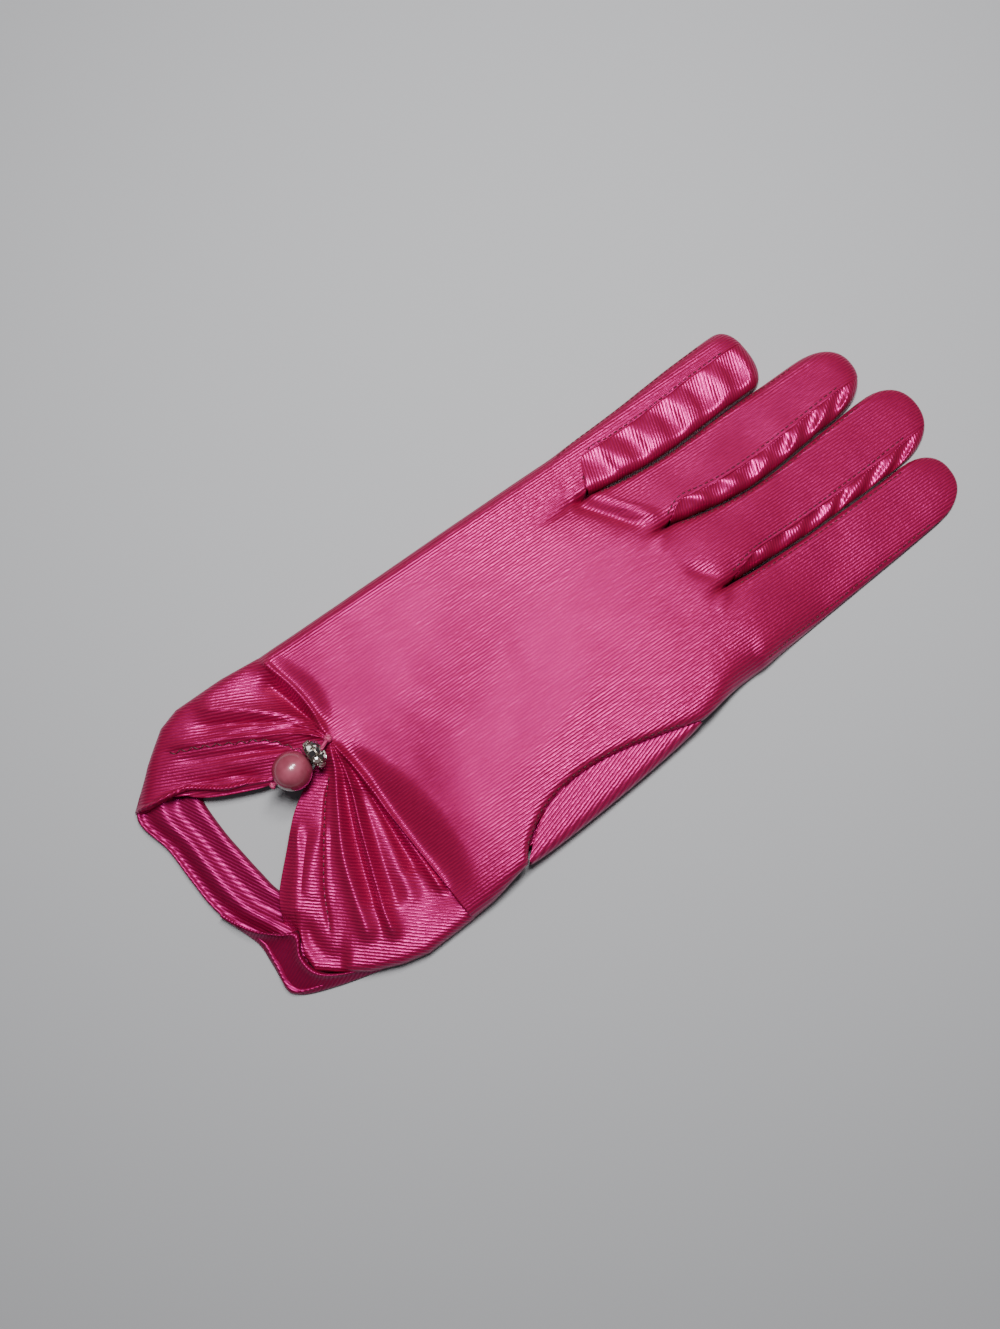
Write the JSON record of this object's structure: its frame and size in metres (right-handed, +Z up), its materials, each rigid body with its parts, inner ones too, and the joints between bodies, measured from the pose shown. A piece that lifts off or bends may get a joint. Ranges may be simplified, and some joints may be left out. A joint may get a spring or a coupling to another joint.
{
  "type": "evening glove",
  "caption": "Left-hand wrist-length satin glove lying flat, back of the hand up, with a gathered keyhole cuff and a pearl and crystal trim.",
  "frame": {"origin": "middle of the bounding box of the glove, on the surface that it lies on", "axes": "+X from the cuff to the fingertips, +Y towards the little finger, +Z up, away from the surface"},
  "size_m": [0.2294, 0.0906, 0.0163],
  "materials": {
    "back_satin": "hot-pink satin",
    "palm_satin": "hot-pink satin",
    "little_fourchette_satin": "hot-pink satin",
    "ring_fourchette_satin": "hot-pink satin",
    "middle_fourchette_satin": "hot-pink satin",
    "thumb_satin": "hot-pink satin",
    "strap_satin": "hot-pink satin",
    "pearl_pink": "pearl",
    "gunmetal_and_crystal": "dark metal set with clear crystals",
    "thread_pink": "twisted thread"
  },
  "bodies": {
    "root": {"back_panel": "back_satin", "palm_panel": "palm_satin", "fourchette_little_ring": "little_fourchette_satin", "fourchette_ring_middle": "ring_fourchette_satin", "fourchette_middle_index": "middle_fourchette_satin", "thumb": "thumb_satin", "wrist_strap": "strap_satin", "pearl": "pearl_pink", "crystal_rondelle": "gunmetal_and_crystal", "bead_thread": "thread_pink"}
  },
  "joints": []
}
